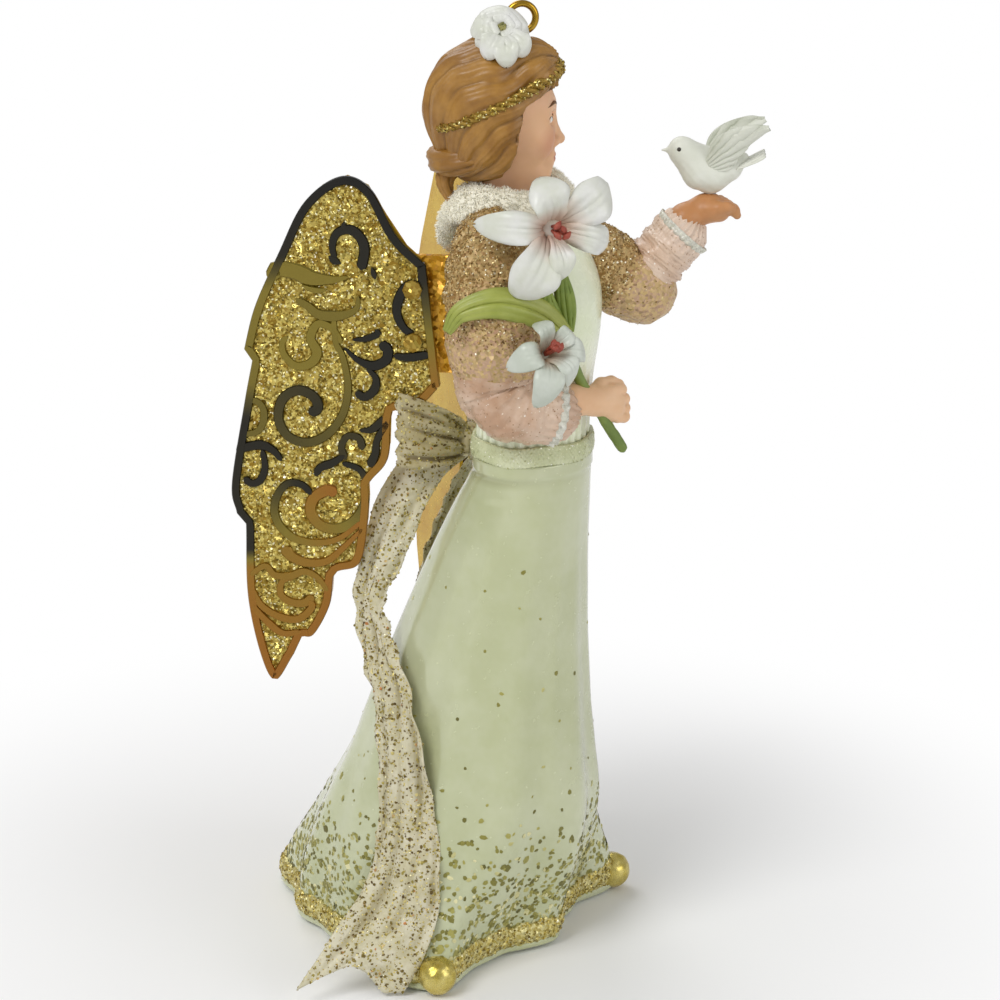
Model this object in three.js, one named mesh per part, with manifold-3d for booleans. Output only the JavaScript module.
// Angel ornament: a painted figure with a dove, a lily spray, brass wings and an organza sash.
// Millimetres, +Z up. The figure faces -Y, its left hand is on +X, and it stands on z = 0.
import * as THREE from 'three';
import Module from 'manifold-3d';
import { mergeVertices } from 'three/addons/utils/BufferGeometryUtils.js';

const wasm = await Module();
wasm.setup();

// Fits
const clearance = 0.3; // gap between pieces that touch
const overrun = 1; // how far a cutter passes a face
const weldDistance = 0.0001;

// Skirt
const skirtHeight = 70;
const skirtLean = 17.6; // how far the waist stands forward of the hem's centre
const skirtHalfWidth = 18.3;
const skirtHalfDepth = 20.4;
const hemCornerReach = 9.8;
const hemCornerHeight = 13;
const trainReach = 6;
const pleatDepth = 0.7;
const pleatCount = 11;
const skirtSides = 44;

// Hem trim and corner beads
const trimHeight = 3;
const trimRise = 1.3;
const trimThickness = 0.7;
const beadRadius = 2.4;
const beadLift = 0.2;

// Belt and dowels
const beltHeight = 4.6;
const beltThickness = 0.8;
const dowelRadius = 1.5;
const dowelReach = 9; // into the skirt and into the bodice
const neckDowelRadius = 1;
const neckDowelReach = 7;

// Bodice
const torsoHeight = 33.7;
const chestHalfWidth = torsoHeight * 0.273;
const chestHalfDepth = torsoHeight * 0.2344;
const neckLean = 2.7; // how far the neck stands behind the waist's centre

// Head, in a frame whose face looks along -Y
const headTurn = 44; // degrees to the figure's left
const headSide = 2.4;
const headBack = 4; // behind the waist's centre
const headRise = 13.2; // above the bodice's top
const craniumWidth = 12.4;
const craniumDepth = 14.6;
const craniumHeight = 15;
const craniumLift = 1.2;
const jawWidth = 9.8;
const jawDepth = 9.6;
const jawHeight = 13.2;
const jawForward = 2.5;
const jawDrop = 2.6;
const noseWidth = 1.6;
const noseDepth = 1.8;
const noseHeight = 3.4;
const noseDrop = 2.6;
const neckRadius = 3.2;

// Hair
const hairThickness = 1.7;
const rollWidth = 13;
const rollDepth = 10;
const rollHeight = 7.8;
const frontRollWidth = 12.6;
const frontRollDepth = 8.6;
const frontRollHeight = 6.4;
const waveRadius = 1.9;
const lockRadius = 1.6;
const lockLength = 8;

// Circlet, hanging eye and ring
const circletRadius = 0.75;
const circletTilt = 24.5; // degrees, forehead up
const ringRadius = 1.8;
const ringWire = 0.45;
const eyeWire = 0.4;
const eyeForward = 3.1;
const eyeShankLength = 5.5;
const eyeLift = 0.6; // of the eye's centre above the hair

// Collar
const collarRadius = 2.3;
const collarHalfWidth = 8.2;
const collarHalfDepth = 7.4;
const collarTilt = 28; // degrees, nape down
const collarSteps = 24;
const collarSides = 8;

// Sleeves, arms and hands
const sleeveRadius = torsoHeight * 0.196;
const cuffRadius = torsoHeight * 0.166;
const farSleeveRadius = torsoHeight * 0.145;
const farCuffRadius = torsoHeight * 0.13;
const cuffBandWidth = 1.3;
const cuffBandThickness = 0.7;
const wristRadius = 2;
const palmLength = 6.2;
const fingerRadius = 0.75;

// Dove
const doveLength = 14;
const doveWidth = 4.4;
const doveWingThickness = 0.7;
const pegRadius = 0.5;
const pegLength = 3.4;

// Lily spray
const lilyRadius = torsoHeight * 0.273;
const lilyDepth = torsoHeight * 0.16;
const smallLilyRadius = torsoHeight * 0.154;
const smallLilyDepth = torsoHeight * 0.178;
const smallLilyBeside = torsoHeight * 0.222; // from the stem
const smallLilyBehind = torsoHeight * 0.015;
const smallLilyBelow = torsoHeight * 0.015;
const petalThickness = 0.6;
const lilyRoll = 10; // degrees about the flower's axis
const smallLilyRoll = 25;
const lilyStamenCount = 4;
const smallLilyStamenCount = 3;
const hairLilyRadius = 3.7;
const hairLilyDepth = 2.2;
const stemRadius = 0.8;
const stamenRadius = 0.28;
const leafThickness = 0.6;
const longLeafWidth = torsoHeight * 0.113;
const leafWidth = torsoHeight * 0.065;

// Wings, each in a frame with X outward, Z up and its front on +Y or -Y
const wingSpan = 32.3;
const wingHeight = 70.8;
const wingRootSide = 3;
const wingDrop = 52.2; // from the bracket's centre to the lower tip
const wingDropShare = 0.737; // of the wing's height
const wingRootShare = 0.16; // of the wing's span, from the bend of the bracket to the wing's edge
const wingSweep = 30.5; // degrees outward from straight back
const plateThickness = 0.5;
const glitterThickness = 0.3;
const scrollThickness = 0.6;
const borderWidth = 0.9;
const scrollWidth = 1;
const scrollStep = 50; // degrees between the points of a scroll

// Wing bracket and its fasteners
const bracketHeight = 16;
const bracketFall = 6.1; // of the bracket's top below the bodice's top
const bracketThickness = 0.8;
const bracketTab = 2.2; // beyond the rivets
const wingRootHeight = torsoHeight - bracketFall - bracketHeight / 2; // of the bracket's centre
const rivetRadius = 0.7;
const rivetHeadRadius = 1.3;
const rivetHeadHeight = 0.6;
const rivetInset = 2.2; // from the wing's edge
const rivetSpacing = 7.2;
const rivetTopShare = 0.79; // of the wing's height
const screwRadius = 0.9;
const screwHeadRadius = 1.8;
const screwHeadHeight = 0.9;
const screwLength = 6;

// Sash
const sashWidth = 8;
const sashThickness = 0.6;
const sashWave = 0.8;
const knotRadius = 2.3;
const bowLength = 10.5;
const bowDepth = 3;
const bowHeight = 7.5;

const vec = (x, y, z) => new THREE.Vector3(x, y, z);
const radians = THREE.MathUtils.degToRad;
const waistHeight = skirtHeight + clearance;
const bodiceTop = waistHeight + torsoHeight;

// A closed triangle mesh as a solid, with its faces turned outward.
function solid(geometry) {
  const bare = new THREE.BufferGeometry();
  bare.setAttribute('position', geometry.getAttribute('position'));
  if (geometry.index) bare.setIndex(geometry.index);
  const merged = mergeVertices(bare, weldDistance);
  const position = merged.getAttribute('position');
  const source = merged.index.array;
  const corner = [vec(0, 0, 0), vec(0, 0, 0), vec(0, 0, 0)];
  let faces = [];
  let volume = 0;
  for (let i = 0; i < source.length; i += 3) {
    const [a, b, c] = [source[i], source[i + 1], source[i + 2]];
    if (a === b || b === c || c === a) continue;
    faces.push([a, b, c]);
    [a, b, c].forEach((id, n) => corner[n].fromBufferAttribute(position, id));
    volume += corner[0].dot(corner[1].clone().cross(corner[2]));
  }
  if (volume < 0) faces = faces.map(([a, b, c]) => [a, c, b]);
  return new wasm.Manifold(new wasm.Mesh({
    numProp: 3,
    vertProperties: Float32Array.from(position.array),
    triVerts: Uint32Array.from(faces.flat()),
  }));
}

function geometryOf(manifold) {
  const mesh = manifold.getMesh();
  const geometry = new THREE.BufferGeometry();
  geometry.setAttribute('position', new THREE.BufferAttribute(mesh.vertProperties, 3));
  geometry.setIndex(new THREE.BufferAttribute(mesh.triVerts, 1));
  geometry.computeVertexNormals();
  return geometry;
}

const join = (...pieces) => pieces.reduce((whole, piece) => whole.add(piece));
const cut = (whole, ...tools) => tools.reduce((left, tool) => left.subtract(tool), whole);

// The largest body that is left after cuts.
function largest(manifold) {
  return manifold.decompose().reduce((best, one) => (one.volume() > best.volume() ? one : best));
}

// Rings of points joined into one closed body, capped at both ends or closed on itself.
function loft(rings, closed = false) {
  const count = rings[0].length;
  const points = rings.flat();
  const index = [];
  const last = closed ? rings.length : rings.length - 1;
  for (let i = 0; i < last; i += 1) {
    const from = i * count;
    const to = ((i + 1) % rings.length) * count;
    for (let j = 0; j < count; j += 1) {
      const k = (j + 1) % count;
      index.push(from + j, from + k, to + k, from + j, to + k, to + j);
    }
  }
  if (!closed) {
    [[0, true], [rings.length - 1, false]].forEach(([row, first]) => {
      const centre = rings[row].reduce((sum, p) => sum.add(p), vec(0, 0, 0)).divideScalar(count);
      const middle = points.push(centre) - 1;
      for (let j = 0; j < count; j += 1) {
        const a = row * count + j;
        const b = row * count + ((j + 1) % count);
        if (first) index.push(middle, b, a);
        else index.push(middle, a, b);
      }
    });
  }
  const geometry = new THREE.BufferGeometry().setFromPoints(points);
  geometry.setIndex(index);
  return solid(geometry);
}

// A round tube along a smooth path, grown all round by grow. radiusAt takes a share of the path.
function tube(points, radiusAt, { sides, steps, grow = 0 }) {
  const path = new THREE.CatmullRomCurve3(points);
  const frames = path.computeFrenetFrames(steps, false);
  const rings = Array.from({ length: steps + 1 }, (_, i) => {
    const endward = (i === steps ? 1 : 0) - (i === 0 ? 1 : 0);
    const centre = path.getPointAt(i / steps).addScaledVector(frames.tangents[i], endward * grow);
    const radius = radiusAt(i / steps) + grow;
    return Array.from({ length: sides }, (__, j) => {
      const turn = (j / sides) * 2 * Math.PI;
      return centre.clone()
        .addScaledVector(frames.normals[i], radius * Math.cos(turn))
        .addScaledVector(frames.binormals[i], radius * Math.sin(turn));
    });
  });
  return loft(rings);
}

// A thin sheet of even thickness over surfaceAt(u, v), with u and v from 0 to 1.
function sheet(surfaceAt, across, along, thickness) {
  const step = 0.001;
  const layers = [1, -1].map((face) => {
    const rows = [];
    for (let i = 0; i <= along; i += 1) {
      for (let j = 0; j <= across; j += 1) {
        const [u, v] = [j / across, i / along];
        const du = surfaceAt(u + step, v).sub(surfaceAt(u - step, v));
        const dv = surfaceAt(u, v + step).sub(surfaceAt(u, v - step));
        const normal = du.cross(dv).normalize();
        rows.push(surfaceAt(u, v).addScaledVector(normal, (face * thickness) / 2));
      }
    }
    return rows;
  });
  const width = across + 1;
  const half = layers[0].length;
  const index = [];
  const quad = (a, b, c, d) => index.push(a, b, c, a, c, d);
  for (let i = 0; i < along; i += 1) {
    for (let j = 0; j < across; j += 1) {
      const a = i * width + j;
      quad(a, a + 1, a + width + 1, a + width);
      quad(half + a + width, half + a + width + 1, half + a + 1, half + a);
    }
  }
  const edge = (a, b) => quad(b, a, half + a, half + b);
  for (let j = 0; j < across; j += 1) {
    edge(j, j + 1);
    edge(along * width + j + 1, along * width + j);
  }
  for (let i = 0; i < along; i += 1) {
    edge((i + 1) * width, i * width);
    edge(i * width + across, (i + 1) * width + across);
  }
  const geometry = new THREE.BufferGeometry().setFromPoints(layers.flat());
  geometry.setIndex(index);
  return solid(geometry);
}

function ellipsoid(centre, width, depth, height, around = 12, rows = 8) {
  const geometry = new THREE.SphereGeometry(0.5, around, rows);
  geometry.rotateX(Math.PI / 2);
  geometry.scale(width, depth, height);
  geometry.translate(centre.x, centre.y, centre.z);
  return solid(geometry);
}

function rod(from, to, radius, sides = 12) {
  const axis = to.clone().sub(from);
  const geometry = new THREE.CylinderGeometry(radius, radius, axis.length(), sides);
  const turn = new THREE.Quaternion().setFromUnitVectors(vec(0, 1, 0), axis.clone().normalize());
  geometry.applyQuaternion(turn);
  const middle = from.clone().add(to).divideScalar(2);
  geometry.translate(middle.x, middle.y, middle.z);
  return solid(geometry);
}

// A flat outline in the XZ plane, thick along Y and centred on middle.
function flatPlate(shape, thickness, middle) {
  const geometry = new THREE.ExtrudeGeometry(shape, { depth: thickness, bevelEnabled: false });
  geometry.rotateX(Math.PI / 2);
  geometry.translate(0, middle + thickness / 2, 0);
  return solid(geometry);
}

// Row values of a table at a share of its first column, eased between rows.
function sample(table, share) {
  const at = THREE.MathUtils.clamp(share, 0, 1);
  const row = Math.max(0, table.findIndex((r) => r[0] >= at) - 1);
  const [a, b] = [table[row], table[row + 1]];
  const [before, after] = [table[Math.max(row - 1, 0)], table[Math.min(row + 2, table.length - 1)]];
  const span = b[0] - a[0];
  const t = (at - a[0]) / span;
  return a.slice(1).map((value, n) => {
    const c = n + 1;
    const slopeA = ((b[c] - before[c]) / (b[0] - before[0])) * span;
    const slopeB = ((after[c] - a[c]) / (after[0] - a[0])) * span;
    const [t2, t3] = [t * t, t * t * t];
    return (2 * t3 - 3 * t2 + 1) * value + (t3 - 2 * t2 + t) * slopeA
      + (3 * t2 - 2 * t3) * b[c] + (t3 - t2) * slopeB;
  });
}

const paints = {
  pearl: { color: 0xdfe0c4, roughness: 0.35, metalness: 0.1 },
  skin: { color: 0xe3b391, roughness: 0.55, metalness: 0 },
  hair: { color: 0x9a6b35, roughness: 0.6, metalness: 0.1 },
  gold: { color: 0xc9a545, roughness: 0.3, metalness: 1 },
  brass: { color: 0xb5892c, roughness: 0.2, metalness: 1 },
  glitter: { color: 0xcfae5c, roughness: 0.5, metalness: 0.8 },
  rose: { color: 0xb98c64, roughness: 0.5, metalness: 0.5 },
  sheer: { color: 0xd9b9a4, roughness: 0.5, metalness: 0.1 },
  silver: { color: 0xd8d8d4, roughness: 0.4, metalness: 0.3 },
  fur: { color: 0xe6e3da, roughness: 0.95, metalness: 0 },
  white: { color: 0xeef0ea, roughness: 0.5, metalness: 0 },
  stamen: { color: 0x8c3b32, roughness: 0.5, metalness: 0 },
  leaf: { color: 0x7d9440, roughness: 0.5, metalness: 0 },
  steel: { color: 0xa8a8a8, roughness: 0.35, metalness: 1 },
  organza: { color: 0xd8c8a4, roughness: 0.6, metalness: 0.1 },
};
const figure = new THREE.Group();

function addPiece(name, manifold, paint, parent = figure) {
  const mesh = new THREE.Mesh(geometryOf(manifold), new THREE.MeshStandardMaterial(paints[paint]));
  mesh.name = name;
  parent.add(mesh);
}

// A piece made in a placed group's own frame, as a cutter for pieces in the figure's frame.
function inFigure(manifold, group) {
  group.updateMatrixWorld(true);
  return manifold.transform(group.matrixWorld.toArray());
}

function inGroup(manifold, group) {
  group.updateMatrixWorld(true);
  return manifold.transform(group.matrixWorld.clone().invert().toArray());
}

// Skirt: height, centre toward the train, half width and half depth, all as shares.
const skirtShares = [
  [0, 1, 0.93, 0.98],
  [0.06, 0.97, 0.95, 0.99],
  [0.12, 0.91, 0.98, 1],
  [0.19, 0.81, 1, 0.99],
  [0.3, 0.66, 0.985, 0.93],
  [0.4, 0.57, 0.91, 0.83],
  [0.52, 0.48, 0.82, 0.735],
  [0.72, 0.31, 0.685, 0.58],
  [0.89, 0.13, 0.565, 0.45],
  [1, 0, 0.475, 0.365],
];
const hemCornerAngle = radians(-141);
const hemCornerSpreadFront = radians(7.5);
const hemCornerSpreadSide = radians(15);
const trainSpread = radians(14);
const angleBetween = (a, b) => Math.atan2(Math.sin(a - b), Math.cos(a - b));

function skirtCorner(angle) {
  const mirrored = Math.atan2(Math.sin(angle), -Math.abs(Math.cos(angle)));
  const off = angleBetween(mirrored, hemCornerAngle);
  const spread = off > 0 ? hemCornerSpreadFront : hemCornerSpreadSide;
  return Math.exp(-((off / spread) ** 2) / 2);
}

function skirtCentre(height) {
  const [centre] = sample(skirtShares, height / skirtHeight);
  return skirtLean * (centre - 1);
}

function skirtPoint(angle, height, outward = 0) {
  const [, width, depth] = sample(skirtShares, height / skirtHeight);
  const [halfWidth, halfDepth] = [width * skirtHalfWidth, depth * skirtHalfDepth];
  const oval = 1 / Math.hypot(Math.cos(angle) / halfWidth, Math.sin(angle) / halfDepth);
  const flare = Math.exp(-((height / hemCornerHeight) ** 2));
  const train = Math.exp(-((angleBetween(angle, Math.PI / 2) / trainSpread) ** 2) / 2);
  const pleat = pleatDepth * Math.sin(pleatCount * angle) * Math.exp(-((height / hemCornerHeight / 2) ** 2));
  const reach = oval + flare * (hemCornerReach * skirtCorner(angle) + trainReach * train) + pleat + outward;
  return vec(reach * Math.cos(angle), skirtCentre(height) + reach * Math.sin(angle), height);
}

function skirtRing(height, outward = 0) {
  return Array.from({ length: skirtSides }, (_, i) => (
    skirtPoint((i / skirtSides) * 2 * Math.PI, height, outward)
  ));
}

const skirtRingShares = [0, 0.03, 0.07, 0.12, 0.18, 0.26, 0.36, 0.5, 0.66, 0.83, 1];
const waistCentre = vec(0, skirtCentre(skirtHeight), waistHeight);

function beadCentre(side) {
  const angle = side < 0 ? hemCornerAngle : -Math.PI - hemCornerAngle;
  return skirtPoint(angle, 0).setZ(beadRadius + beadLift);
}

const dowel = (grow) => rod(
  waistCentre.clone().setZ(skirtHeight - dowelReach - grow),
  waistCentre.clone().setZ(waistHeight + dowelReach + grow),
  dowelRadius + grow,
);

function trimSolid(grow) {
  const [inner, outer] = [clearance - grow, clearance + trimThickness + grow];
  const [low, high] = [trimRise - grow, trimRise + trimHeight + grow];
  const rows = [[low, inner], [low, outer], [high, outer], [high, inner]];
  const rings = Array.from({ length: skirtSides }, (_, i) => rows.map(([height, outward]) => (
    skirtPoint((i / skirtSides) * 2 * Math.PI, height, outward)
  )));
  return loft(rings, true);
}

function makeSkirt() {
  const body = loft(skirtRingShares.map((share) => skirtRing(share * skirtHeight)));
  const beads = [-1, 1].map((side) => {
    const size = 2 * (beadRadius + clearance);
    return ellipsoid(beadCentre(side), size, size, size, 12, 7);
  });
  addPiece('skirt', largest(cut(body, dowel(clearance), ...beads)), 'pearl');
  [['hem_bead_right', -1], ['hem_bead_left', 1]].forEach(([name, side]) => {
    const size = 2 * beadRadius;
    addPiece(name, ellipsoid(beadCentre(side), size, size, size, 12, 7), 'gold');
  });
  const halves = cut(trimSolid(0), ...beads).decompose();
  const [front, back] = halves.sort((a, b) => a.boundingBox().max[1] - b.boundingBox().max[1]);
  addPiece('hem_trim_front', front, 'gold');
  addPiece('hem_trim_back', back, 'gold');
}

// Bodice: height, centre toward the back, half width and half depth, all as shares.
const bodiceShares = [
  [0, 0, 0.935, 0.924],
  [0.14, -0.01, 0.88, 0.9],
  [0.35, -0.04, 0.91, 0.94],
  [0.55, -0.1, 0.975, 1],
  [0.7, -0.1, 1, 1],
  [0.82, 0.015, 1, 0.91],
  [0.91, 0.14, 0.89, 0.76],
  [0.97, 0.25, 0.61, 0.58],
  [1, 0.34, 0.435, 0.49],
];

function bodiceRing(share, outward = 0, sides = 24) {
  const [centre, width, depth] = sample(bodiceShares, share);
  return Array.from({ length: sides }, (_, i) => {
    const turn = (i / sides) * 2 * Math.PI;
    return vec(
      (width * chestHalfWidth + outward) * Math.cos(turn),
      waistCentre.y + centre * chestHalfDepth + (depth * chestHalfDepth + outward) * Math.sin(turn),
      waistHeight + share * torsoHeight,
    );
  });
}

function bodiceBody(outward) {
  return loft(bodiceShares.map(([share]) => bodiceRing(share, outward)));
}

const neckBase = vec(0, waistCentre.y + neckLean, bodiceTop + clearance);
const neckDowel = (grow) => rod(
  neckBase.clone().setZ(bodiceTop - neckDowelReach - grow),
  neckBase.clone().setZ(neckBase.z + neckDowelReach + grow),
  neckDowelRadius + grow,
);

const beltSides = 30;

function beltPoint(turn, outward, rise) {
  const [, width, depth] = sample(bodiceShares, 0);
  return vec(
    (width * chestHalfWidth + clearance + outward) * Math.cos(turn),
    waistCentre.y + (depth * chestHalfDepth + clearance + outward) * Math.sin(turn),
    skirtHeight + rise,
  );
}

function makeBelt() {
  const section = [[0, 0], [0, 0.6], [0.15, 1], [0.85, 1], [1, 0.6], [1, 0]];
  return loft(Array.from({ length: beltSides }, (_, i) => {
    const turn = (i / beltSides) * 2 * Math.PI;
    return section.map(([rise, out]) => beltPoint(turn, out * beltThickness, rise * beltHeight));
  }), true);
}

// The belt with its inside filled, for cutting what comes close to it.
function beltCutter(grow) {
  return loft([-grow, beltHeight + grow].map((rise) => Array.from({ length: beltSides }, (_, i) => (
    beltPoint((i / beltSides) * 2 * Math.PI, beltThickness + grow, rise)
  ))));
}

// Head group: the face looks along -Y in its own frame.
const headGroup = new THREE.Group();
headGroup.position.set(-headSide, waistCentre.y + headBack, bodiceTop + headRise);
headGroup.rotation.z = radians(headTurn);
figure.add(headGroup);

function neckSolid(grow) {
  const base = headGroup.worldToLocal(neckBase.clone());
  const top = vec(0, -jawForward / 2, -jawDrop);
  const points = [base, base.clone().lerp(top, 0.5), top];
  return tube(points, () => neckRadius, { sides: 12, steps: 2, grow });
}

function headSolid(grow) {
  const more = 2 * grow;
  const crown = vec(0, 0, craniumLift);
  const cranium = ellipsoid(crown, craniumWidth + more, craniumDepth + more, craniumHeight + more);
  const jaw = ellipsoid(vec(0, -jawForward, -jawDrop), jawWidth + more, jawDepth + more, jawHeight + more);
  return join(cranium, jaw, neckSolid(grow));
}

function makeHead() {
  const nose = ellipsoid(vec(0, -craniumDepth / 2, -noseDrop), noseWidth, noseDepth, noseHeight, 6, 4);
  return join(headSolid(0), nose);
}

// Side waves run from the parting over the ear to the nape, in shares of the cranium's size.
const waveShares = [
  [0.46, -0.19, 0.3],
  [0.55, -0.05, 0.05],
  [0.53, 0.03, -0.2],
  [0.42, 0.12, -0.4],
];
// The hairline below the circlet, seen from the side: forward and up, in shares of the cranium's
// depth and height.
const hairlineShares = [
  [-0.19, 0.175],
  [-0.125, -0.153],
  [-0.03, -0.4],
  [0.06, -0.62],
  [0.06, -1.5],
  [-1.5, -1.5],
  [-1.5, 0.7],
  [-0.56, 0.28],
  [-0.43, 0.225],
];

// What is cut from the hair in front of the hairline.
function faceCutter(grow) {
  const outline = new THREE.Shape(hairlineShares.map(([y, z]) => (
    new THREE.Vector2(y * craniumDepth - grow, z * craniumHeight)
  )));
  return flatPlate(outline, 4 * craniumWidth, 0).rotate([0, 0, 90]);
}

function hairSolid(grow) {
  const more = 2 * (hairThickness + grow);
  const cap = ellipsoid(
    vec(0, hairThickness / 2, craniumLift),
    craniumWidth + more,
    craniumDepth + more,
    craniumHeight + more,
    16,
    9,
  );
  const roll = ellipsoid(
    vec(0, craniumDepth * 0.16, -craniumHeight * 0.32),
    rollWidth + 2 * grow,
    rollDepth + 2 * grow,
    rollHeight + 2 * grow,
  );
  const front = ellipsoid(
    vec(0, -craniumDepth * 0.235, craniumHeight * 0.41),
    frontRollWidth + 2 * grow,
    frontRollDepth + 2 * grow,
    frontRollHeight + 2 * grow,
    12,
    6,
  );
  const back = cut(join(cap, roll, front), faceCutter(grow));
  const waves = [-1, 1].map((side) => tube(
    waveShares.map(([x, y, z]) => vec(side * x * craniumWidth, y * craniumDepth, z * craniumHeight)),
    (t) => waveRadius * (0.55 + 0.45 * Math.sin(Math.PI * t)),
    { sides: 6, steps: 6, grow },
  ));
  const nape = vec(0, craniumDepth * 0.36, -craniumHeight * 0.4);
  const lockPath = [0, 0.5, 1].map((share) => (
    nape.clone().add(vec(-lockRadius * share, lockRadius * share, -lockLength * share))
  ));
  const lock = tube(lockPath, (t) => lockRadius * (1.2 - 0.8 * t), { sides: 6, steps: 3, grow });
  return join(back, ...waves, lock);
}

const hairTop = craniumLift + craniumHeight / 2 + hairThickness;
const eyeCentre = vec(0, -eyeForward, hairTop + eyeLift - eyeForward * 0.12);
const eyeRadius = ringWire + clearance + eyeWire;

function eyeSolid(grow) {
  const loop = new THREE.TorusGeometry(eyeRadius, eyeWire + grow, 6, 12);
  loop.rotateX(Math.PI / 2);
  loop.translate(eyeCentre.x, eyeCentre.y, eyeCentre.z);
  const shankTop = eyeCentre.clone().add(vec(0, 0, -eyeRadius));
  const shankEnd = shankTop.clone().add(vec(0, 0, -eyeShankLength - grow));
  return join(solid(loop), rod(shankTop, shankEnd, eyeWire + grow, 6));
}

function ringSolid() {
  const ring = new THREE.TorusGeometry(ringRadius, ringWire, 8, 20);
  ring.rotateY(Math.PI / 2);
  ring.translate(eyeCentre.x, eyeCentre.y, eyeCentre.z + ringRadius);
  return solid(ring);
}

function circletSolid(grow) {
  const steps = 24;
  const halfWidth = 0.96 * (craniumWidth / 2 + hairThickness);
  const halfDepth = 0.93 * (craniumDepth / 2 + hairThickness);
  const tilt = radians(circletTilt);
  const centre = vec(0, hairThickness * 0.6, craniumLift + craniumHeight * 0.065);
  const rings = Array.from({ length: steps }, (_, i) => {
    const turn = (i / steps) * 2 * Math.PI;
    const flat = vec(halfWidth * Math.cos(turn), (halfDepth * Math.sin(turn)) / Math.cos(tilt), 0);
    const out = vec(Math.cos(turn), Math.sin(turn), 0);
    return Array.from({ length: 5 }, (__, j) => {
      const angle = (j / 5) * 2 * Math.PI;
      const size = circletRadius + grow;
      return flat.clone()
        .addScaledVector(out, size * Math.cos(angle))
        .add(vec(0, 0, size * Math.sin(angle)))
        .applyAxisAngle(vec(1, 0, 0), -tilt)
        .add(centre);
    });
  });
  return loft(rings, true);
}

// A lily of six curled petals in a frame whose opening looks along +Z.
// Petal outline and curl: distance out, height and half width along one petal, as shares.
const petalShares = [
  [0, 0.07, 0, 0.1],
  [0.35, 0.22, 0.55, 0.22],
  [0.6, 0.5, 0.95, 0.34],
  [0.82, 0.82, 0.95, 0.27],
  [1, 1, 0.62, 0.04],
];

// Petals of each flower: turn in degrees, then length, width and droop as shares.
const largePetalShares = [
  [133, 0.96, 0.85, 0.75],
  [60, 0.7, 1, 0],
  [346, 1, 1.25, 0.1],
  [298, 0.97, 0.9, 0.5],
  [222, 0.8, 0.6, 0.1],
  [194, 1.06, 1.2, 0.2],
];
const smallPetalShares = [
  [58, 0.75, 0.85, 0],
  [341, 0.8, 0.8, 0.1],
  [300, 1.05, 0.9, 0.3],
  [249, 0.95, 0.9, 0.2],
  [195, 1.35, 1.2, 0.3],
  [140, 1.05, 1.1, 0.3],
];
const hairPetalShares = [
  [30, 0.9, 1.1, 0.4],
  [90, 1, 1.1, 0.5],
  [150, 0.9, 1.1, 0.4],
  [210, 1, 1.1, 0.5],
  [270, 0.9, 1.1, 0.4],
  [330, 1, 1.1, 0.5],
];

function lilySolid(petals, radius, depth, grow, rows = 3) {
  const blades = petals.map(([degrees, long, wide, droop]) => {
    const turn = radians(degrees);
    return sheet((u, v) => {
      const [out, rise, half] = sample(petalShares, v);
      const side = 2 * u - 1;
      const along = radius * out * long + grow * v;
      const across = (radius * half * wide + grow) * side;
      const lift = depth * (rise - droop * v ** 3) + radius * 0.1 * side * side * (1 - v);
      return vec(
        along * Math.cos(turn) - across * Math.sin(turn),
        along * Math.sin(turn) + across * Math.cos(turn),
        lift,
      );
    }, 2, rows, petalThickness + 2 * grow);
  });
  const axis = [-0.3, 0.05, 0.35].map((share) => vec(0, 0, depth * share));
  const cup = tube(axis, (t) => radius * (0.08 + 0.1 * t), { sides: 8, steps: 2, grow });
  return join(cup, ...blades);
}

function stamenSolid(radius, depth, count) {
  const base = vec(0, 0, depth * 0.35 + clearance);
  const filaments = Array.from({ length: count }, (_, i) => {
    const turn = (i / count) * 2 * Math.PI;
    const reach = i === 0 ? 0 : radius * 0.04 + 3.6 * stamenRadius;
    const end = vec(reach * Math.cos(turn), reach * Math.sin(turn), depth * 1.05);
    const from = base.clone().add(vec(0, 0, stamenRadius));
    const tip = end.clone().add(vec(0, 0, 4 * stamenRadius));
    return join(rod(from, end, stamenRadius, 4), rod(end, tip, 1.6 * stamenRadius, 5));
  });
  const disc = rod(base, base.clone().add(vec(0, 0, 2 * stamenRadius)), radius * 0.06, 6);
  return join(disc, ...filaments);
}

function flowerGroup(place, facing, roll, parent = figure) {
  const group = new THREE.Group();
  const turn = new THREE.Quaternion().setFromUnitVectors(vec(0, 0, 1), facing.clone().normalize());
  group.quaternion.copy(turn).multiply(new THREE.Quaternion().setFromAxisAngle(vec(0, 0, 1), roll));
  group.position.copy(place);
  parent.add(group);
  return group;
}

// Places on the upper body, as shares of the torso's height from the waist's centre.
const onTorso = ([x, y, z]) => waistCentre.clone().add(vec(x, y, z).multiplyScalar(torsoHeight));
// The same with y as a share of the chest's half depth, for what lies in front of the chest.
const onChest = ([x, y, z]) => (
  waistCentre.clone().add(vec(x * torsoHeight, y * chestHalfDepth, z * torsoHeight))
);

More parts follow.
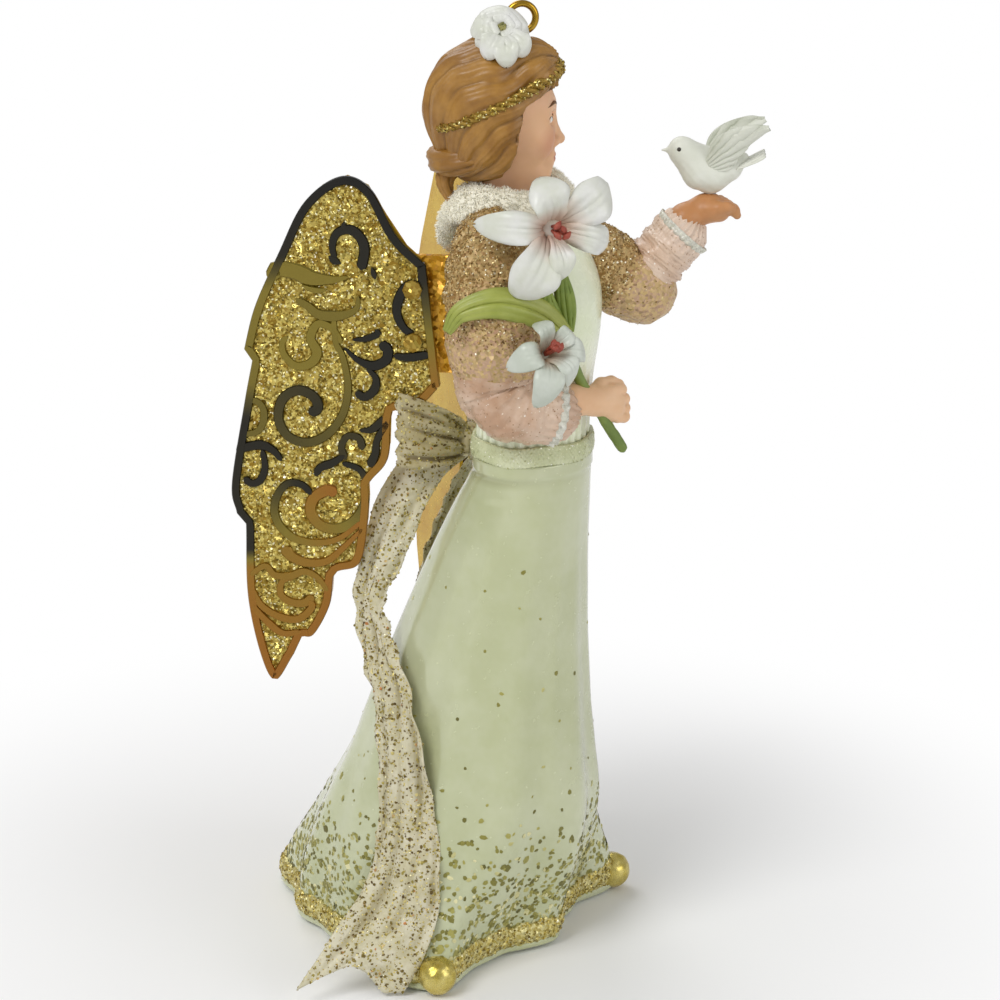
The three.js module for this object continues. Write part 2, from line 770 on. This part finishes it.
const rightSleeveShares = [
  [-0.19, 0.04, 0.98],
  [-0.265, 0.005, 0.9],
  [-0.317, -0.054, 0.7],
  [-0.322, -0.054, 0.55],
];
const rightCuffShares = [
  [-0.322, -0.055, 0.541],
  [-0.322, -0.058, 0.4],
  [-0.296, -0.115, 0.32],
  [-0.18, -0.2, 0.285],
];
const rightForearmShares = [
  [-0.215, -0.832, 0.3],
  [-0.093, -1.079, 0.316],
  [0.042, -1.246, 0.296],
];
const leftSleeveShares = [
  [0.189, 0.02, 0.899],
  [0.292, -0.087, 0.789],
  [0.385, -0.169, 0.689],
  [0.447, -0.21, 0.65],
];
const leftCuffShares = [
  [0.435, -0.198, 0.659],
  [0.477, -0.241, 0.738],
  [0.514, -0.282, 0.806],
  [0.544, -0.318, 0.858],
];
const leftForearmShares = [
  [0.523, -0.294, 0.835],
  [0.557, -0.341, 0.928],
  [0.62, -0.393, 0.972],
];

function sleeveSolid(shares, radius, profile, grow) {
  return tube(shares.map(onTorso), (t) => radius * profile(t), { sides: 12, steps: 6, grow });
}

const sleeveProfile = (t) => 0.6 + 0.4 * Math.sin((Math.PI / 2) * Math.min(1, 1.6 * t));
const rightCuffProfile = (t) => 1.14 - 0.62 * t + 0.25 * t * t;
const leftCuffProfile = (t) => 0.95 - 0.2 * t + 0.11 * t * t;
const rightSleeve = (grow) => sleeveSolid(rightSleeveShares, sleeveRadius, sleeveProfile, grow);
const leftSleeve = (grow) => sleeveSolid(leftSleeveShares, farSleeveRadius, sleeveProfile, grow);
const rightCuff = (grow) => sleeveSolid(rightCuffShares, cuffRadius, rightCuffProfile, grow);
const leftCuff = (grow) => sleeveSolid(leftCuffShares, farCuffRadius, leftCuffProfile, grow);

function cuffBand(shares, radius) {
  const path = new THREE.CatmullRomCurve3(shares.map(onTorso));
  const end = path.getPointAt(1);
  const along = path.getTangentAt(1);
  const side = along.clone().cross(vec(0, 0, 1)).normalize();
  const up = side.clone().cross(along);
  const sides = 16;
  const [inner, outer] = [radius - cuffBandThickness, radius];
  const near = clearance;
  const rows = [[near, inner], [near, outer], [near + cuffBandWidth, outer], [near + cuffBandWidth, inner]];
  return loft(Array.from({ length: sides }, (_, i) => {
    const turn = (i / sides) * 2 * Math.PI;
    return rows.map(([ahead, reach]) => end.clone()
      .addScaledVector(along, ahead)
      .addScaledVector(side, reach * Math.cos(turn))
      .addScaledVector(up, reach * Math.sin(turn)));
  }), true);
}

const forearm = (points, grow) => tube(
  points,
  (t) => wristRadius * (1.05 - 0.1 * t),
  { sides: 10, steps: 4, grow },
);

// Right hand: a closed fist round the stem. Left hand: an open palm under the dove.
const rightFist = onChest([0.087, -1.237, 0.275]);
const leftPalm = onTorso([0.645, -0.41, 0.963]);

function fingerSolid(points) {
  return tube(points, (t) => fingerRadius * (1.05 - 0.25 * t), { sides: 5, steps: 3 });
}

function rightHandSolid() {
  const palm = ellipsoid(rightFist, palmLength, palmLength * 0.72, palmLength * 0.82, 10, 6);
  const fingers = [-0.27, -0.09, 0.09, 0.27].map((rise) => {
    const z = rise * palmLength;
    return fingerSolid([
      rightFist.clone().add(vec(palmLength * 0.28, palmLength * 0.2, z)),
      rightFist.clone().add(vec(palmLength * 0.5, -palmLength * 0.12, z)),
      rightFist.clone().add(vec(palmLength * 0.25, -palmLength * 0.4, z)),
      rightFist.clone().add(vec(-palmLength * 0.1, -palmLength * 0.36, z)),
    ]);
  });
  const thumb = fingerSolid([
    rightFist.clone().add(vec(-palmLength * 0.3, -palmLength * 0.12, palmLength * 0.3)),
    rightFist.clone().add(vec(palmLength * 0.02, -palmLength * 0.3, palmLength * 0.42)),
    rightFist.clone().add(vec(palmLength * 0.3, -palmLength * 0.3, palmLength * 0.36)),
  ]);
  return join(forearm(rightForearmShares.map(onChest), 0), palm, ...fingers, thumb);
}

const leftReach = vec(0.78, -0.6, -0.16).normalize();
const leftAcross = vec(-0.6, -0.78, 0).normalize();

function leftHandSolid() {
  const palm = ellipsoid(vec(0, 0, 0), palmLength * 0.62, palmLength * 0.9, palmLength * 0.56, 10, 6);
  const turned = palm.rotate([0, 0, THREE.MathUtils.radToDeg(Math.atan2(leftReach.x, -leftReach.y))])
    .translate(leftPalm.toArray());
  const fingers = [-0.24, -0.08, 0.08, 0.24].map((side) => fingerSolid([0.2, 0.42, 0.6].map((ahead, n) => (
    leftPalm.clone()
      .addScaledVector(leftReach, ahead * palmLength)
      .addScaledVector(leftAcross, side * palmLength)
      .add(vec(0, 0, n === 1 ? fingerRadius * 0.6 : 0))
  ))));
  const thumb = fingerSolid([[0.2, 0], [0.42, 0.2], [0.4, 0.5]].map(([across, ahead]) => (
    leftPalm.clone()
      .addScaledVector(leftAcross, palmLength * across)
      .addScaledVector(leftReach, palmLength * ahead)
  )));
  return join(forearm(leftForearmShares.map(onTorso), 0), turned, ...fingers, thumb);
}

// Dove: a group whose beak points along -X, wings raised, standing on the palm.
const doveGroup = new THREE.Group();
doveGroup.position.copy(leftPalm).add(vec(0, 0, palmLength * 0.28 + clearance + pegRadius * 0.4));
doveGroup.rotation.z = radians(-54);
figure.add(doveGroup);

// Body from beak to tail: station and height as shares of the length, half width and half depth as
// shares of the width.
const doveShares = [
  [-0.479, 0.414, 0.03, 0.03],
  [-0.4, 0.421, 0.12, 0.12],
  [-0.307, 0.414, 0.38, 0.38],
  [-0.236, 0.329, 0.42, 0.44],
  [-0.136, 0.229, 0.48, 0.52],
  [0, 0.185, 0.48, 0.46],
  [0.143, 0.22, 0.4, 0.4],
  [0.286, 0.314, 0.42, 0.25],
  [0.507, 0.379, 0.55, 0.12],
];
const doveWingShares = [
  [0, 0.05, 0.2, 0.13],
  [0.3, 0.06, 0.38, 0.13],
  [0.6, 0.17, 0.51, 0.115],
  [0.85, 0.34, 0.61, 0.065],
  [1, 0.49, 0.65, 0.02],
];

function doveBody(grow) {
  const points = doveShares.map(([x, z]) => vec(x * doveLength, 0, z * doveLength));
  const rows = doveShares.map(([, , wide, deep], i) => [i / (doveShares.length - 1), wide, deep]);
  const path = new THREE.CatmullRomCurve3(points);
  const steps = 12;
  const rings = Array.from({ length: steps + 1 }, (_, i) => {
    const share = i / steps;
    const [wide, deep] = sample(rows, share);
    const along = path.getTangent(share);
    const up = along.clone().cross(vec(0, 1, 0));
    return Array.from({ length: 8 }, (__, j) => {
      const turn = (j / 8) * 2 * Math.PI;
      return path.getPoint(share)
        .add(vec(0, (wide * doveWidth + grow) * Math.cos(turn), 0))
        .addScaledVector(up, (deep * doveWidth + grow) * Math.sin(turn));
    });
  });
  return loft(rings);
}

function doveWing(side) {
  return sheet((u, v) => {
    const share = THREE.MathUtils.clamp(v, 0, 1);
    const [x, z, half] = sample(doveWingShares, share);
    const across = (2 * u - 1) * half * doveLength;
    return vec(
      x * doveLength + across * 0.75 + (v - share) * doveLength,
      side * doveWidth * (0.3 + 0.5 * v),
      z * doveLength - across * 0.66,
    );
  }, 2, 4, doveWingThickness);
}

const doveFoot = vec(0, 0, pegLength / 2);

function makeDove() {
  const peg = (grow) => rod(
    doveFoot.clone().add(vec(0, 0, grow)),
    doveFoot.clone().add(vec(0, 0, -pegLength - grow)),
    pegRadius + grow,
    8,
  );
  addPiece('dove_body', largest(cut(doveBody(0), peg(clearance))), 'white', doveGroup);
  [['dove_wing_right', -1], ['dove_wing_left', 1]].forEach(([name, side]) => {
    addPiece(name, largest(cut(doveWing(side), doveBody(clearance))), 'white', doveGroup);
  });
  addPiece('dove_peg', peg(0), 'steel', doveGroup);
  return [inFigure(peg(clearance), doveGroup), inFigure(doveBody(clearance), doveGroup)];
}

// Lily spray
const stemShares = [
  [0.123, -1.467, 0.091],
  [0.068, -1.331, 0.188],
  [0.016, -1.229, 0.284],
  [-0.056, -1.152, 0.382],
  [-0.137, -1.143, 0.529],
  [-0.183, -1.13, 0.69],
  [-0.207, -1.079, 0.888],
];
const stemSolid = (grow) => tube(stemShares.map(onChest), () => stemRadius, { sides: 6, steps: 9, grow });
const lilyPlace = onChest([-0.266, -1.015, 1.035]);
const lilyFacing = vec(-0.5, -0.85, 0.1);
const smallLilyPlace = onChest([-0.13, -1.194, 0.55])
  .add(vec(-smallLilyBeside, smallLilyBehind, -smallLilyBelow));
const smallLilyFacing = vec(-0.35, -0.75, 0.5);

// Leaf centre lines as shares of the torso's height, from the stem outward.
const leafFacing = vec(-0.75, -0.6, 0.3).normalize();
const longLeafShares = [
  [-0.223, -1.352, 0.615],
  [-0.339, -1.165, 0.715],
  [-0.483, -0.815, 0.775],
  [-0.567, -0.324, 0.74],
  [-0.588, -0.09, 0.659],
];
const frontLeafShares = [[-0.237, -1.293, 0.628], [-0.285, -1.177, 0.72], [-0.299, -1.139, 0.818]];
const backLeafShares = [[-0.199, -1.318, 0.621], [-0.224, -1.327, 0.745], [-0.241, -1.301, 0.868]];

function leafSolid(shares, width, grow) {
  const path = new THREE.CatmullRomCurve3(shares.map(onChest));
  return sheet((u, v) => {
    const share = THREE.MathUtils.clamp(v, 0, 1);
    const along = path.getTangentAt(share);
    const side = along.cross(leafFacing).normalize();
    const half = (width / 2) * (0.25 + 0.85 * Math.sin(Math.PI * (0.15 + 0.8 * share))) + grow;
    const across = 2 * u - 1;
    const ahead = (v - share) * torsoHeight + grow * (2 * v - 1);
    return path.getPointAt(share)
      .addScaledVector(side, across * half)
      .addScaledVector(leafFacing, -0.25 * half * across * across)
      .addScaledVector(path.getTangentAt(share), ahead);
  }, 2, 6, leafThickness + 2 * grow);
}

// Wing outline as shares of span and height, from the upper root round the apex and back.
// Each run is smooth, and runs meet in a notch between feathers.
const wingRunShares = [
  [[0.174, 0.837], [0.293, 0.891], [0.398, 0.978], [0.521, 1], [0.671, 0.95], [0.78, 0.853], [0.882, 0.751],
    [0.933, 0.667]],
  [[0.9, 0.644], [0.939, 0.557], [1, 0.399], [0.982, 0.34]],
  [[0.944, 0.319], [0.944, 0.173], [0.894, 0.05], [0.835, 0], [0.754, 0.055]],
  [[0.717, 0.092], [0.665, 0.098], [0.597, 0.157], [0.578, 0.217]],
  [[0.56, 0.228], [0.461, 0.25], [0.424, 0.352], [0.422, 0.407]],
  [[0.409, 0.415], [0.34, 0.458], [0.326, 0.537]],
  [[0.317, 0.553], [0.208, 0.563], [0.12, 0.603]],
];
// Scrolls: centre, outer and inner radius as shares of the span, start angle and sweep in degrees.
const scrollShares = [
  { at: [0.5, 0.863], radii: [0.085, 0.045], start: -60, sweep: 270 },
  { at: [0.696, 0.672], radii: [0.11, 0.04], start: 60, sweep: -310 },
  { at: [0.63, 0.568], radii: [0.2, 0.045], start: 60, sweep: -450 },
  { at: [0.2, 0.747], radii: [0.095, 0.075], start: 60, sweep: 180 },
  { at: [0.4, 0.648], radii: [0.09, 0.03], start: 180, sweep: 250 },
  { at: [0.559, 0.377], radii: [0.14, 0.04], start: 110, sweep: -380 },
  { at: [0.71, 0.339], radii: [0.13, 0.045], start: -30, sweep: -290 },
  { at: [0.717, 0.178], radii: [0.1, 0.035], start: -90, sweep: 320 },
];

// Shares of height below and above the bracket's centre stretch apart, so the root stays on the bracket.
function onWing([x, z]) {
  const below = z < wingDropShare;
  const reach = below ? wingDrop / wingDropShare : (wingHeight - wingDrop) / (1 - wingDropShare);
  return new THREE.Vector2(x * wingSpan, (z - wingDropShare) * reach);
}

function wingOutline() {
  return wingRunShares.flatMap((run) => {
    const curve = new THREE.SplineCurve(run.map(onWing));
    return curve.getPoints(Math.ceil((run.length - 1) * 1.4));
  });
}

function insetOutline(points, distance) {
  return points.map((point, i) => {
    const before = points[(i + points.length - 1) % points.length];
    const after = points[(i + 1) % points.length];
    const along = after.clone().sub(before).normalize();
    return point.clone().add(new THREE.Vector2(-along.y, along.x).multiplyScalar(-distance));
  });
}

function scrollShape({ at, radii, start, sweep }) {
  const centre = onWing(at);
  const steps = Math.ceil(Math.abs(sweep) / scrollStep);
  const edge = (side) => Array.from({ length: steps + 1 }, (_, i) => {
    const t = i / steps;
    const angle = radians(start + sweep * t);
    const reach = wingSpan * (radii[0] + (radii[1] - radii[0]) * t);
    const half = (scrollWidth / 2) * (0.35 + 0.65 * Math.sin(Math.PI * (0.2 + 0.75 * t)));
    const out = new THREE.Vector2(Math.cos(angle), Math.sin(angle));
    return out.multiplyScalar(reach + side * half).add(centre);
  });
  return new THREE.Shape([...edge(1), ...edge(-1).reverse()]);
}

const bracketY = waistCentre.y - 0.1 * chestHalfDepth + chestHalfDepth + clearance;
const rivetTop = onWing([0, rivetTopShare]).y;
const rivetHeights = [rivetTop - rivetSpacing, rivetTop];
const rivetAcross = wingSpan * wingRootShare + rivetInset;

function wingGroup(side) {
  const group = new THREE.Group();
  group.position.set(side * wingRootSide, bracketY + bracketThickness, waistHeight + wingRootHeight);
  group.rotation.z = Math.PI / 2 - side * radians(wingSweep);
  figure.add(group);
  return group;
}

function makeWing(name, side) {
  const group = wingGroup(side);
  const front = -side;
  const plateMiddle = front * (plateThickness / 2 + clearance);
  const frontMiddle = plateMiddle + front * (plateThickness / 2 + clearance + glitterThickness / 2);
  const scrollMiddle = frontMiddle + (front * (scrollThickness - glitterThickness)) / 2;
  const holeReach = bracketThickness + plateThickness + glitterThickness + scrollThickness + overrun;
  const rivets = (radius) => rivetHeights.map((height) => rod(
    vec(rivetAcross, -holeReach, height),
    vec(rivetAcross, holeReach, height),
    radius,
    8,
  ));
  const outline = wingOutline();
  const holes = rivets(rivetRadius + clearance);
  const faces = new THREE.Shape(outline);
  const plate = flatPlate(faces, plateThickness, plateMiddle);
  addPiece(`wing_plate_${name}`, cut(plate, ...holes), 'brass', group);
  const inner = insetOutline(outline, borderWidth);
  const [near, far] = [scrollMiddle - scrollThickness / 2, scrollMiddle + scrollThickness / 2];
  const border = loft(outline.map((out, i) => [
    vec(out.x, near, out.y),
    vec(out.x, far, out.y),
    vec(inner[i].x, far, inner[i].y),
    vec(inner[i].x, near, inner[i].y),
  ]), true);
  const scrolls = scrollShares.map((row) => flatPlate(scrollShape(row), scrollThickness, scrollMiddle));
  const panel = flatPlate(faces, glitterThickness, frontMiddle);
  const inside = flatPlate(faces, 2 * scrollThickness, scrollMiddle);
  const relief = cut(join(border, ...scrolls).intersect(inside), ...rivets(rivetHeadRadius + clearance));
  addPiece(`wing_front_${name}`, largest(cut(join(panel, relief), ...holes)), 'glitter', group);
  const rivetSeat = frontMiddle + front * (glitterThickness / 2 + clearance);
  const tabBack = -front * (bracketThickness + clearance);
  rivetHeights.forEach((height, i) => {
    const buried = (front * rivetHeadHeight) / 2;
    const shank = rod(
      vec(rivetAcross, rivetSeat + buried, height),
      vec(rivetAcross, tabBack - buried, height),
      rivetRadius,
      8,
    );
    const head = (face, away) => rod(
      vec(rivetAcross, face, height),
      vec(rivetAcross, face + away * rivetHeadHeight, height),
      rivetHeadRadius,
      8,
    );
    const whole = join(shank, head(rivetSeat, front), head(tabBack, -front));
    addPiece(`wing_rivet_${name}_${i ? 'upper' : 'lower'}`, whole, 'gold', group);
  });
  return rivets(rivetRadius + clearance).map((hole) => inFigure(hole, group));
}

// The bracket is one strip: a flat middle on the bodice and a tab along each wing.
function makeBracket(holes) {
  const tab = (side, reach, offset) => {
    const out = new THREE.Vector2(side * Math.sin(radians(wingSweep)), Math.cos(radians(wingSweep)));
    const across = new THREE.Vector2(-side * out.y, side * out.x).multiplyScalar(offset);
    return new THREE.Vector2(side * wingRootSide, bracketY + bracketThickness)
      .addScaledVector(out, reach)
      .add(across);
  };
  const start = bracketThickness;
  const profile = new THREE.Shape([
    new THREE.Vector2(-wingRootSide, bracketY),
    new THREE.Vector2(wingRootSide, bracketY),
    tab(1, start, 0),
    tab(1, rivetAcross + bracketTab, 0),
    tab(1, rivetAcross + bracketTab, bracketThickness),
    tab(1, start, bracketThickness),
    new THREE.Vector2(wingRootSide / 2, bracketY + bracketThickness),
    new THREE.Vector2(-wingRootSide / 2, bracketY + bracketThickness),
    tab(-1, start, bracketThickness),
    tab(-1, rivetAcross + bracketTab, bracketThickness),
    tab(-1, rivetAcross + bracketTab, 0),
    tab(-1, start, 0),
  ]);
  const strip = new THREE.ExtrudeGeometry(profile, { depth: bracketHeight, bevelEnabled: false });
  strip.translate(0, 0, waistHeight + wingRootHeight - bracketHeight / 2);
  return cut(solid(strip), ...holes, bracketScrewShank(clearance));
}

function bracketScrewShank(grow) {
  const height = waistHeight + wingRootHeight;
  const end = bracketY + bracketThickness + clearance;
  return rod(vec(0, end + overrun, height), vec(0, end - screwLength - grow, height), screwRadius + grow);
}

function bracketScrew() {
  const height = waistHeight + wingRootHeight;
  const seat = bracketY + bracketThickness + clearance;
  return join(
    rod(vec(0, seat, height), vec(0, seat - screwLength, height), screwRadius),
    rod(vec(0, seat, height), vec(0, seat + screwHeadHeight, height), screwHeadRadius),
  );
}

// Sash: bow on the back of the belt and two tails over the skirt.
const beltBack = waistCentre.y + 0.924 * chestHalfDepth + clearance + beltThickness;
const knotCentre = vec(0, beltBack + clearance + knotRadius * 0.7, waistHeight + beltHeight * 0.3);

function knotSolid(grow) {
  const width = 2 * (knotRadius + grow);
  return ellipsoid(knotCentre, width, 1.4 * knotRadius + 2 * grow, width);
}

function bowLoop(side, grow = 0) {
  return sheet((u, v) => {
    const turn = 2 * Math.PI * Math.min(Math.max(v, 0), 1);
    const reach = bowLength * Math.sin(turn / 2) ** 1.2;
    const across = (2 * u - 1) * ((bowHeight / 2) * (0.45 + 0.55 * Math.sin(turn / 2)) + grow);
    return vec(
      side * (reach * 0.8 + knotRadius * 0.5),
      knotCentre.y + reach * 0.45 + bowDepth * Math.sin(turn) * 0.5,
      knotCentre.z + across + reach * 0.1,
    );
  }, 3, 14, sashThickness + 2 * grow);
}

// Tails over the skirt: height share, angle in degrees about the skirt's centre, stand-off share
// of the sash width, width share, and the way the tail faces in degrees.
const rightTailShares = [
  [1.015, 95, 0.4, 0.4, 200],
  [0.975, 104, 0.85, 0.72, 200],
  [0.911, 112, 0.92, 0.83, 200],
  [0.849, 119, 0.84, 0.83, 198],
  [0.792, 125, 0.78, 0.78, 190],
  [0.734, 130, 0.7, 0.75, 168],
  [0.691, 134, 0.55, 0.78, 158],
  [0.644, 142, 0.36, 0.82, 160],
  [0.608, 155, 0.3, 0.85, 166],
  [0.568, 166, 0.24, 0.88, 172],
  [0.516, 173, 0.2, 0.92, 178],
  [0.44, 182, 0.19, 0.97, 185],
  [0.364, 188, 0.18, 1.03, 190],
  [0.288, 194, 0.17, 1.12, 196],
  [0.212, 199, 0.2, 1.25, 199],
  [0.15, 201, 0.3, 1.4, 200],
  [0.1, 199, 0.5, 1.4, 199],
  [0.06, 195, 0.8, 1.25, 196],
];
const leftTailShares = [
  [0.985, 79, 0.3, 0.28, 79],
  [0.9, 76, 0.45, 0.5, 76],
  [0.78, 74, 0.4, 0.65, 74],
  [0.62, 70, 0.2, 0.75, 70],
  [0.46, 62, 0.17, 0.8, 62],
  [0.3, 55, 0.17, 0.85, 55],
  [0.16, 50, 0.17, 0.9, 50],
];

function tailSolid(table) {
  const steps = 20;
  const path = new THREE.CatmullRomCurve3(table.map(([height, angle, off]) => (
    skirtPoint(radians(angle), height * skirtHeight, off * sashWidth)
  )));
  const rows = table.map((row, i) => [i / (table.length - 1), radians(row[4]), row[3]]);
  return sheet((u, v) => {
    const share = THREE.MathUtils.clamp(v, 0, 1);
    const [facing, width] = sample(rows, share);
    const out = vec(Math.cos(facing), Math.sin(facing), 0.3).normalize();
    const centre = path.getPoint(share);
    const side = path.getTangent(share).cross(out).normalize();
    const across = (2 * u - 1) * (width * sashWidth) / 2;
    const wave = sashWave * Math.sin(2 * Math.PI * (1.4 * u + 1.5 * share)) * 0.5;
    const reach = skirtHalfWidth * 0.9;
    const wrap = -(across * across) / (2 * reach);
    return centre
      .addScaledVector(side, across)
      .addScaledVector(out, wave + wrap * 0.9 + sashWave * 0.6)
      .addScaledVector(path.getTangent(share), (v - share) * skirtHeight);
  }, 5, steps, sashThickness);
}

const skirtCutter = (grow) => loft(skirtRingShares.map((share) => skirtRing(share * skirtHeight, grow)));

function makeWings() {
  const holes = [['right', -1], ['left', 1]].flatMap(([name, side]) => makeWing(name, side));
  addPiece('wing_bracket', makeBracket(holes), 'brass');
  addPiece('bracket_screw', bracketScrew(), 'steel');
}

function makeTorso() {
  addPiece('waist_dowel', dowel(0), 'steel');
  addPiece('neck_dowel', neckDowel(0), 'steel');
  const bodice = cut(bodiceBody(0), dowel(clearance), neckDowel(clearance), bracketScrewShank(clearance));
  addPiece('bodice', largest(bodice), 'pearl');
  addPiece('belt', makeBelt(), 'pearl');
}

function makeHairAndCirclet() {
  const eyeHole = eyeSolid(clearance);
  const dowelHole = inGroup(neckDowel(clearance), headGroup);
  const shoulders = inGroup(bodiceBody(clearance), headGroup);
  addPiece('head', largest(cut(makeHead(), dowelHole, eyeHole, shoulders)), 'skin', headGroup);
  addPiece('hanging_eye', eyeSolid(0), 'gold', headGroup);
  addPiece('hanging_ring', ringSolid(), 'gold', headGroup);

  const place = vec(-craniumWidth * 0.19, 0, craniumHeight * 0.725);
  const flower = flowerGroup(place, vec(-0.85, 0, 0.53), 0, headGroup);
  const petals = (grow) => lilySolid(hairPetalShares, hairLilyRadius, hairLilyDepth, grow, 2);
  const flowerCutter = inGroup(inFigure(petals(clearance), flower), headGroup);
  const covered = cut(hairSolid(0), headSolid(clearance), eyeHole, circletSolid(clearance), flowerCutter);
  addPiece('hair', largest(covered), 'hair', headGroup);
  addPiece('circlet', largest(cut(circletSolid(0), flowerCutter)), 'gold', headGroup);
  const eyeInFlower = inGroup(inFigure(eyeHole, headGroup), flower);
  addPiece('hair_lily', largest(cut(petals(0), eyeInFlower)), 'white', flower);
  addPiece('hair_lily_centre', stamenSolid(hairLilyRadius, hairLilyDepth * 0.8, 1), 'leaf', flower);
}

function makeArms(bodice, stem, doveHoles) {
  const rightArm = rightForearmShares.map(onChest);
  const leftArm = leftForearmShares.map(onTorso);
  const arms = [
    ['right', rightSleeve, rightCuff, rightCuffShares, cuffRadius * rightCuffProfile(1), rightArm],
    ['left', leftSleeve, leftCuff, leftCuffShares, farCuffRadius * leftCuffProfile(1), leftArm],
  ];
  arms.forEach(([name, sleeve, cuff, cuffShares, radius, armPoints]) => {
    const arm = forearm(armPoints, clearance);
    const band = cuffBand(cuffShares, radius);
    addPiece(`sleeve_${name}`, largest(cut(sleeve(0), bodice)), 'rose');
    addPiece(`cuff_${name}`, largest(cut(cuff(0), bodice, sleeve(clearance), arm)), 'sheer');
    const inside = [bodice, cuff(clearance), arm, beltCutter(clearance)];
    addPiece(`cuff_band_${name}`, largest(cut(band, ...inside)), 'silver');
  });
  addPiece('hand_right', largest(cut(rightHandSolid(), stem, bodice)), 'skin');
  addPiece('hand_left', largest(cut(leftHandSolid(), ...doveHoles)), 'skin');
}

function collarSolid() {
  const centre = vec(0, neckBase.y + collarHalfDepth * 0.2, bodiceTop);
  return loft(Array.from({ length: collarSteps }, (_, i) => {
    const turn = (i / collarSteps) * 2 * Math.PI;
    const out = vec(Math.cos(turn), Math.sin(turn), 0);
    return Array.from({ length: collarSides }, (__, j) => {
      const angle = (j / collarSides) * 2 * Math.PI;
      return vec(collarHalfWidth * Math.cos(turn), collarHalfDepth * Math.sin(turn), 0)
        .addScaledVector(out, collarRadius * Math.cos(angle))
        .add(vec(0, 0, collarRadius * Math.sin(angle)))
        .applyAxisAngle(vec(1, 0, 0), -radians(collarTilt))
        .add(centre);
    });
  }), true);
}

function makeSpray(fixed, stem) {
  addPiece('lily_stem', largest(cut(stemSolid(0), ...fixed)), 'leaf');
  const behind = [...fixed, stem];
  const flowers = [
    ['lily_large', largePetalShares, lilyRadius, lilyDepth, lilyPlace, lilyFacing, lilyRoll, lilyStamenCount],
    ['lily_small', smallPetalShares, smallLilyRadius, smallLilyDepth, smallLilyPlace, smallLilyFacing,
      smallLilyRoll, smallLilyStamenCount],
  ];
  flowers.forEach(([name, table, radius, depth, place, facing, roll, count]) => {
    const group = flowerGroup(place, facing, radians(roll));
    const petals = inFigure(lilySolid(table, radius, depth, 0), group);
    addPiece(name, inGroup(largest(cut(petals, ...behind)), group), 'white', group);
    addPiece(`${name}_stamens`, stamenSolid(radius, depth, count), 'stamen', group);
    behind.push(inFigure(lilySolid(table, radius, depth, clearance), group));
  });
  const leaves = [
    ['leaf_long', longLeafShares, longLeafWidth],
    ['leaf_front', frontLeafShares, leafWidth],
    ['leaf_back', backLeafShares, leafWidth],
  ];
  leaves.forEach(([name, shares, width]) => {
    addPiece(name, largest(cut(leafSolid(shares, width, 0), ...behind)), 'leaf');
    behind.push(leafSolid(shares, width, clearance));
  });
}

// One wing as a plain block, for cutting what passes it.
function wingCutter(side) {
  const thickness = plateThickness + clearance + scrollThickness;
  const outline = new THREE.Shape(insetOutline(wingOutline(), -clearance));
  return inFigure(
    flatPlate(outline, thickness + 2 * clearance, -side * (clearance + thickness / 2)),
    wingGroup(side),
  );
}

function makeSash(bodice) {
  addPiece('sash_knot', knotSolid(0), 'organza');
  const behind = [knotSolid(clearance), bodice, skirtCutter(clearance), trimSolid(clearance)];
  behind.push(wingCutter(-1), wingCutter(1));
  [['right', -1], ['left', 1]].forEach(([name, side]) => {
    addPiece(`sash_loop_${name}`, largest(cut(bowLoop(side), ...behind)), 'organza');
    behind.push(bowLoop(side, clearance));
  });
  [['right', rightTailShares], ['left', leftTailShares]].forEach(([name, table]) => {
    addPiece(`sash_tail_${name}`, largest(cut(tailSolid(table), ...behind)), 'organza');
  });
}

function makeFigure() {
  makeSkirt();
  const doveHoles = makeDove();
  makeWings();
  makeTorso();
  makeHairAndCirclet();

  const bodice = bodiceBody(clearance);
  const stem = stemSolid(clearance);
  makeArms(bodice, stem, doveHoles);
  const sleeves = [rightSleeve(clearance), leftSleeve(clearance)];
  const head = [neckSolid, headSolid, hairSolid].map((make) => inFigure(make(clearance), headGroup));
  addPiece('collar', largest(cut(collarSolid(), bodice, ...head, ...sleeves)), 'fur');
  makeSpray([...sleeves, bodice, rightCuff(clearance)], stem);
  makeSash(bodice);
}

makeFigure();

export default figure;
